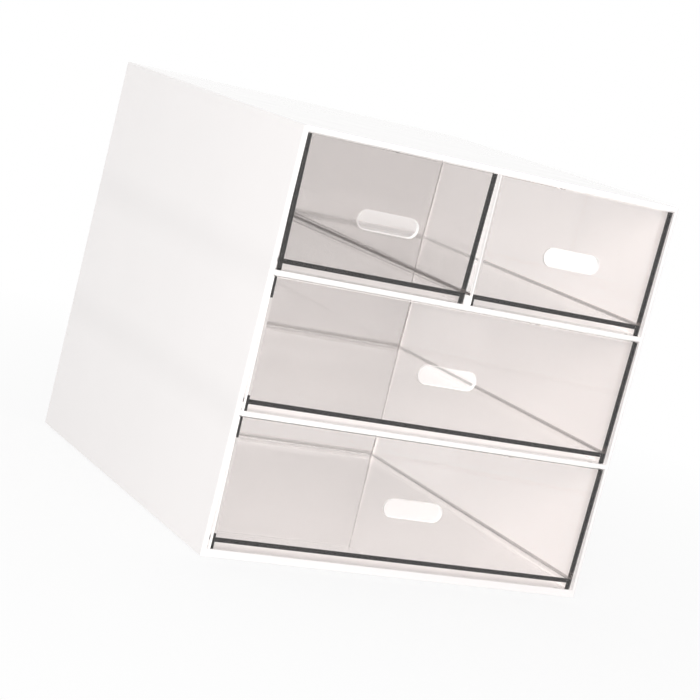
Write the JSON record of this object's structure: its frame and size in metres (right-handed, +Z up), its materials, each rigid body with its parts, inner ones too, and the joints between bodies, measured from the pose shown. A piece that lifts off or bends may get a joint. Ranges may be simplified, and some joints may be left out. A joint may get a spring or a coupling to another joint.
{
  "type": "cosmetics drawer organiser",
  "caption": "White open-fronted make-up organiser with smoky clear drawers in tiers, pulled out by a pill-shaped finger slot in each front.",
  "frame": {"origin": "centre of the footprint, on the surface that the anti-slip pads stand on", "axes": "+X to the right seen from the front, +Y from the drawer fronts to the back, +Z up; the drawers open towards -Y"},
  "size_m": [0.229, 0.25, 0.2225],
  "materials": {
    "white_acrylic": "opaque white, polished",
    "smoky_acrylic": "clear with a light warm grey tint, polished",
    "anti_slip_pads": "translucent soft silicone"
  },
  "bodies": {
    "casing": {"casing_left_side": "white_acrylic", "casing_right_side": "white_acrylic", "casing_top": "white_acrylic", "casing_base": "white_acrylic", "casing_back": "white_acrylic", "upper_shelf": "white_acrylic", "lower_shelf": "white_acrylic", "centre_guide_rail": "white_acrylic", "anti_slip_pads": "anti_slip_pads"},
    "upper_left_drawer": {"upper_left_drawer_front": "smoky_acrylic", "upper_left_drawer_left_wall": "smoky_acrylic", "upper_left_drawer_right_wall": "smoky_acrylic", "upper_left_drawer_back_wall": "smoky_acrylic", "upper_left_drawer_floor": "smoky_acrylic"},
    "upper_right_drawer": {"upper_right_drawer_front": "smoky_acrylic", "upper_right_drawer_left_wall": "smoky_acrylic", "upper_right_drawer_right_wall": "smoky_acrylic", "upper_right_drawer_back_wall": "smoky_acrylic", "upper_right_drawer_floor": "smoky_acrylic"},
    "middle_drawer": {"middle_drawer_front": "smoky_acrylic", "middle_drawer_left_wall": "smoky_acrylic", "middle_drawer_right_wall": "smoky_acrylic", "middle_drawer_back_wall": "smoky_acrylic", "middle_drawer_floor": "smoky_acrylic"},
    "bottom_drawer": {"bottom_drawer_front": "smoky_acrylic", "bottom_drawer_left_wall": "smoky_acrylic", "bottom_drawer_right_wall": "smoky_acrylic", "bottom_drawer_back_wall": "smoky_acrylic", "bottom_drawer_floor": "smoky_acrylic"}
  },
  "joints": [
    {"name": "upper_left_drawer_slide", "type": "slide", "parent": "casing", "child": "upper_left_drawer", "axis": [0, -1, 0], "range_m": [0, 0.195]},
    {"name": "upper_right_drawer_slide", "type": "slide", "parent": "casing", "child": "upper_right_drawer", "axis": [0, -1, 0], "range_m": [0, 0.195]},
    {"name": "middle_drawer_slide", "type": "slide", "parent": "casing", "child": "middle_drawer", "axis": [0, -1, 0], "range_m": [0, 0.195]},
    {"name": "bottom_drawer_slide", "type": "slide", "parent": "casing", "child": "bottom_drawer", "axis": [0, -1, 0], "range_m": [0, 0.195]}
  ]
}
